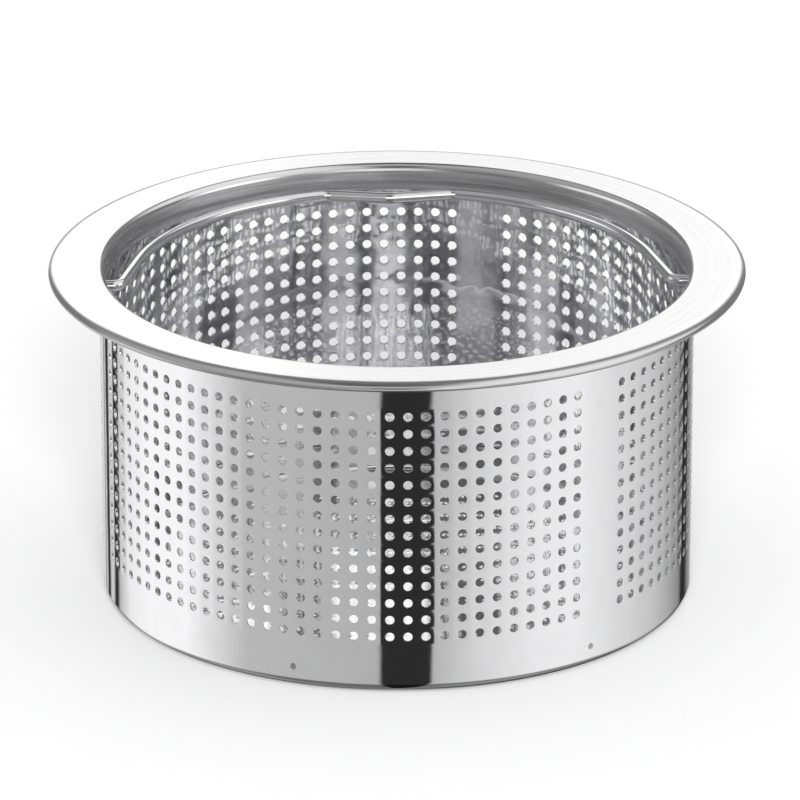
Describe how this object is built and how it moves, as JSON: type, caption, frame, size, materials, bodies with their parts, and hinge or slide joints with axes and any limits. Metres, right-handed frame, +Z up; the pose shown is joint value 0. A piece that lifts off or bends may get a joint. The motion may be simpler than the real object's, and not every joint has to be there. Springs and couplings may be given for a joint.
{
  "type": "basket strainer",
  "caption": "Round stainless steel sink strainer basket with a flat hemmed rim, a perforated cylindrical wall, a perforated bottom and a wire bail handle lying inside the rim.",
  "frame": {"origin": "centre of the underside, on the plane that the basket stands on", "axes": "+Z up out of the basket, X along the handle's hinge axis, +Y towards the side where the handle lies"},
  "size_m": [0.14, 0.14, 0.0689],
  "materials": {
    "rim_steel": "satin flange top and circumferentially brushed collar",
    "wall_steel": "bright polished perforated sheet with faint drawing ripples",
    "plate_steel": "bright perforated sheet with fine handling scratches",
    "wire_steel": "bright drawn wire"
  },
  "bodies": {
    "basket": {"rim_ring": "rim_steel", "side_wall": "wall_steel", "bottom_plate": "plate_steel"},
    "bail": {"bail_handle": "wire_steel"}
  },
  "joints": [
    {"name": "bail_hinge", "type": "hinge", "parent": "basket", "child": "bail", "pos_m": [0, 0, 0.0642], "axis": [1, 0, 0], "range_deg": [0, 180]}
  ]
}
